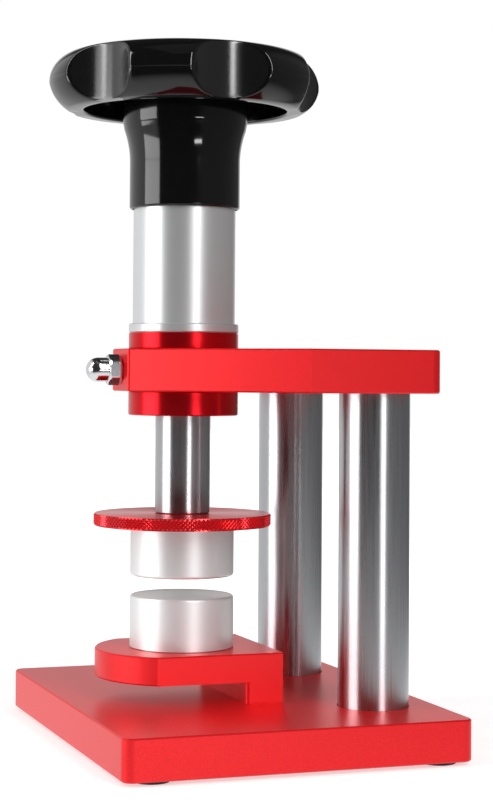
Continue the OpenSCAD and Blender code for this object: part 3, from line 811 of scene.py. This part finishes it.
bore_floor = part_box("thrust_ball")[0].z - BALL_GAP
top_steps = [(FACE_R, disc_top), (BORE_R, disc_top), (BORE_R, bore_floor)]
boss_steps = [
    (FACE_R, disc_bottom),
    (BOSS_R, disc_bottom),
    (BOSS_R, boss_bottom + BOSS_CHAMFER),
    (BOSS_R - BOSS_CHAMFER, boss_bottom),
]
grow_rim(holder, disc_top, top_steps)
grow_rim(holder, disc_bottom, boss_steps)
bpy.ops.mesh.select_all(action="SELECT")
bpy.ops.mesh.normals_make_consistent(inside=False)
bpy.ops.object.mode_set(mode="OBJECT")
print("die holder:", len(holder.data.polygons), "faces before the cross hole")

# %% [markdown]
# A cross hole through the boss carries the two retaining screws, whose points run in the
# spindle's groove. A drill is a cylinder, so a Boolean cuts the hole as the drill does.

# %% Cross hole for the two retaining screws
HOLE_R = 1.55 * MM
HOLE_LENGTH = 22 * MM

bpy.ops.object.select_all(action="DESELECT")
bpy.ops.mesh.primitive_cylinder_add(
    vertices=48,
    radius=HOLE_R,
    depth=HOLE_LENGTH,
    location=(axis_x, 0, middle("retainer_left").z),
    rotation=(math.pi / 2, 0, 0),
)
drill = bpy.context.object
only_select(holder)
cut = holder.modifiers.new("cross_hole", "BOOLEAN")
cut.operation = "DIFFERENCE"
cut.solver = "EXACT"
cut.object = drill
bpy.ops.object.modifier_apply(modifier=cut.name)
bpy.data.objects.remove(drill)
print("die holder:", len(holder.data.polygons), "faces")

# %% [markdown]
# The disc's faces and boss take the turned finish and the teeth the lighter one, with its painted
# sheen. The teeth are the faces that lie further out than the chamfers.

# %% Finish the die holder
KNURL_R = 25.2 * MM
HOLDER_SMOOTH = math.radians(20)

holder.data.materials.clear()
holder.data.materials.append(turned_red)
holder.data.materials.append(knurl_red_with_painted_sheen)
for face in holder.data.polygons:
    corners = [holder.data.vertices[v].co for v in face.vertices]
    if all(math.hypot(c.x - axis_x, c.y) > KNURL_R for c in corners):
        face.material_index = 1
bpy.ops.object.shade_smooth_by_angle(angle=HOLDER_SMOOTH)
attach(holder, "die_group")
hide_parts("die_holder")
print("knurled faces:", sum(face.material_index for face in holder.data.polygons))

# %% [markdown]
# The stage is a white table in a dark studio. The camera sees plain white all round. Polished
# parts see more: the lit table close by, and further off a white wall on the left, a white one
# behind the press, a grey one on the right and the dark room behind the camera. That dark part is
# what gives chrome, steel and black plastic their contrast.

# %% Walls of the dark room
# Each wall by its middle, in degrees to the right of the camera as seen from the press, how many
# degrees it spans to each side of that, how soft its edge is, and its level
WALLS = {
    "white, left": (-106, 52, 0.08, 0.8),
    "white, behind the press": (180, 28, 0.05, 0.75),
    "grey, right": (90, 60, 0.2, 0.16),
}
DARKNESS = 0.03

front = Vector((-math.sin(CAMERA_YAW), -math.cos(CAMERA_YAW), 0))
right = Vector((math.cos(CAMERA_YAW), -math.sin(CAMERA_YAW), 0))


def swung(degrees):
    """The level direction so many degrees to the right of the camera, seen from the press."""
    return front * math.cos(math.radians(degrees)) + right * math.sin(math.radians(degrees))


def wall(tree, way, centre, half_width, soft, level):
    """A wall's brightness in the direction that way, a (node, output) pair, gives."""
    facing = add_node(
        tree, "ShaderNodeVectorMath", {1: swung(centre)}, {0: way}, operation="DOT_PRODUCT"
    )
    edge = math.cos(math.radians(half_width))
    return add_node(
        tree,
        "ShaderNodeMapRange",
        {"From Min": edge - soft, "From Max": edge + soft, "To Min": 0.0, "To Max": level},
        {"Value": (facing, "Value")},
        interpolation_type="SMOOTHSTEP",
    )


def room_walls(tree, way):
    """What polished parts see of the room: the brightest wall there, or near darkness."""
    first, *others = [wall(tree, way, *numbers) for numbers in WALLS.values()]
    lightest = add_node(
        tree, "ShaderNodeMath", {1: DARKNESS}, {0: (first, "Result")}, operation="MAXIMUM"
    )
    for other in others:
        lightest = add_node(
            tree,
            "ShaderNodeMath",
            links={0: (lightest, "Value"), 1: (other, "Result")},
            operation="MAXIMUM",
        )
    return lightest


print("walls:", ", ".join(WALLS))

# %% [markdown]
# The table is a large plane on which the feet stand.

# %% Table
TABLE_SIZE = 6

bpy.ops.object.select_all(action="DESELECT")
bpy.ops.mesh.primitive_plane_add(size=TABLE_SIZE, location=(0, 0, 0))
floor = bpy.context.object
floor.name = "floor"
print("table: %d m square" % TABLE_SIZE)

# %% [markdown]
# The table's white paint glows a little, so that it comes out white without more light on the
# press. Close to the press the glow is weaker, so the press's shadow stays. Polished parts see
# the glow alone, and further off the room's walls instead, as if the table ended there.

# %% Levels of the table's glow
NEAR = 0.12
FAR = 0.34
GLOW = 0.55
MIRRORED_GLOW = 1.0
WHITE = 1.0
OFF = 0.0

floor_paint, tree = start_material("white_table")
path = add_node(tree, "ShaderNodeLightPath")
place = add_node(tree, "ShaderNodeTexCoord")
reach = add_node(
    tree, "ShaderNodeVectorMath", links={0: (place, "Object")}, operation="LENGTH"
)
far = add_node(
    tree,
    "ShaderNodeMapRange",
    {"From Min": NEAR, "From Max": FAR},
    {"Value": (reach, "Value")},
    interpolation_type="SMOOTHSTEP",
)
outward = add_node(
    tree, "ShaderNodeVectorMath", links={0: (place, "Object")}, operation="NORMALIZE"
)
walls = room_walls(tree, (outward, "Vector"))
camera_glow = add_node(
    tree, "ShaderNodeMix", {"A": GLOW, "B": WHITE}, {"Factor": (far, "Result")}
)
glossy_glow = add_node(
    tree,
    "ShaderNodeMix",
    {"A": MIRRORED_GLOW},
    {"Factor": (far, "Result"), "B": (walls, "Value")},
)
unseen_glow = add_node(
    tree,
    "ShaderNodeMix",
    {"A": OFF},
    {"Factor": (path, "Is Glossy Ray"), "B": (glossy_glow, "Result")},
)
strength = add_node(
    tree,
    "ShaderNodeMix",
    links={
        "Factor": (path, "Is Camera Ray"),
        "A": (unseen_glow, "Result"),
        "B": (camera_glow, "Result"),
    },
)
print("the glow changes from %.0f to %.0f mm away" % (NEAR / MM, FAR / MM))

# %% [markdown]
# Paint and glow are added up for the camera and for soft light. A mirrored table shows only its
# glow, because lamp light on it would come back as spots that the real parts don't show.

# %% Paint the table
glow = add_node(
    tree, "ShaderNodeEmission", {"Color": linear("#ffffff")}, {"Strength": (strength, "Result")}
)
paint = add_node(tree, "ShaderNodeBsdfDiffuse", {"Color": linear("#d8d8d8")})
lit = add_node(tree, "ShaderNodeAddShader", links={0: (paint, "BSDF"), 1: (glow, "Emission")})
seen = add_node(
    tree,
    "ShaderNodeMixShader",
    links={0: (path, "Is Glossy Ray"), 1: (lit, "Shader"), 2: (glow, "Emission")},
)
add_node(tree, "ShaderNodeOutputMaterial", links={"Surface": (seen, "Shader")})
floor.data.materials.append(floor_paint)
print("made", floor_paint.name)

# %% [markdown]
# The room is a world, which needs no walls of its own. The camera sees white, polished parts see
# the walls, and matt surfaces get the same soft light from all sides.

# %% Room, as a world
AMBIENT = 0.46

world = bpy.data.worlds.new("studio")
bpy.context.scene.world = world
tree = empty_tree(world)
path = add_node(tree, "ShaderNodeLightPath")
way = add_node(tree, "ShaderNodeTexCoord")
walls = room_walls(tree, (way, "Generated"))
room = add_node(
    tree,
    "ShaderNodeMix",
    {"A": AMBIENT},
    {"Factor": (path, "Is Glossy Ray"), "B": (walls, "Value")},
)
strength = add_node(
    tree,
    "ShaderNodeMix",
    {"B": WHITE},
    {"Factor": (path, "Is Camera Ray"), "A": (room, "Result")},
)
sky = add_node(
    tree, "ShaderNodeBackground", {"Color": linear("#ffffff")}, {"Strength": (strength, "Result")}
)
add_node(tree, "ShaderNodeOutputWorld", links={"Surface": (sky, "Background")})
print("made", world.name)

# %% [markdown]
# Soft boxes light the press. A low broad one on the left draws the bright bands on the columns
# and the hub, and a low narrow one in front on the right lights the base. Above each of them a
# high narrow one streaks the turned parts and the ground hollows. A weak one hangs overhead.

# %% Soft boxes
# Each box by its degrees to the right of the camera and then, in metres, its distance from the
# axis, the heights of its lower and upper edge and its width. The last number is its level.
SOFT_BOXES = {
    "soft_box_left_low": (-70, 0.7, 0.0, 0.24, 0.46, 4.5),
    "soft_box_left_high": (-71, 0.7, 0.27, 0.9, 0.14, 8.0),
    "soft_box_right_low": (28, 0.7, 0.0, 0.05, 0.18, 14.0),
    "soft_box_right_high": (31, 0.8, 0.25, 0.95, 0.12, 14.0),
    "soft_box_overhead": (20, 0.25, 0.7, 1.4, 0.7, 0.1),
}
AIM_H = 110 * MM

target = Vector((axis_x, 0, AIM_H))
for name, (swing, distance, lower, upper, width, level) in SOFT_BOXES.items():
    data = bpy.data.lights.new(name, "AREA")
    data.shape = "RECTANGLE"
    data.size = width
    data.size_y = upper - lower
    # A lamp's power grows with its area, so equal levels look equally bright
    data.energy = level * math.pi * width * (upper - lower)
    lamp = bpy.data.objects.new(name, data)
    bpy.context.collection.objects.link(lamp)
    lamp.location = Vector((axis_x, 0, (lower + upper) / 2)) + swung(swing) * distance
    lamp.rotation_euler = (target - lamp.location).to_track_quat("-Z", "Y").to_euler()
    print(name, "at", [round(v, 2) for v in lamp.location])

# %% [markdown]
# Last, the view shows the colours as they are written, without a film curve.

# %% Show colours as written
view = bpy.context.scene.view_settings
view.view_transform = "Standard"
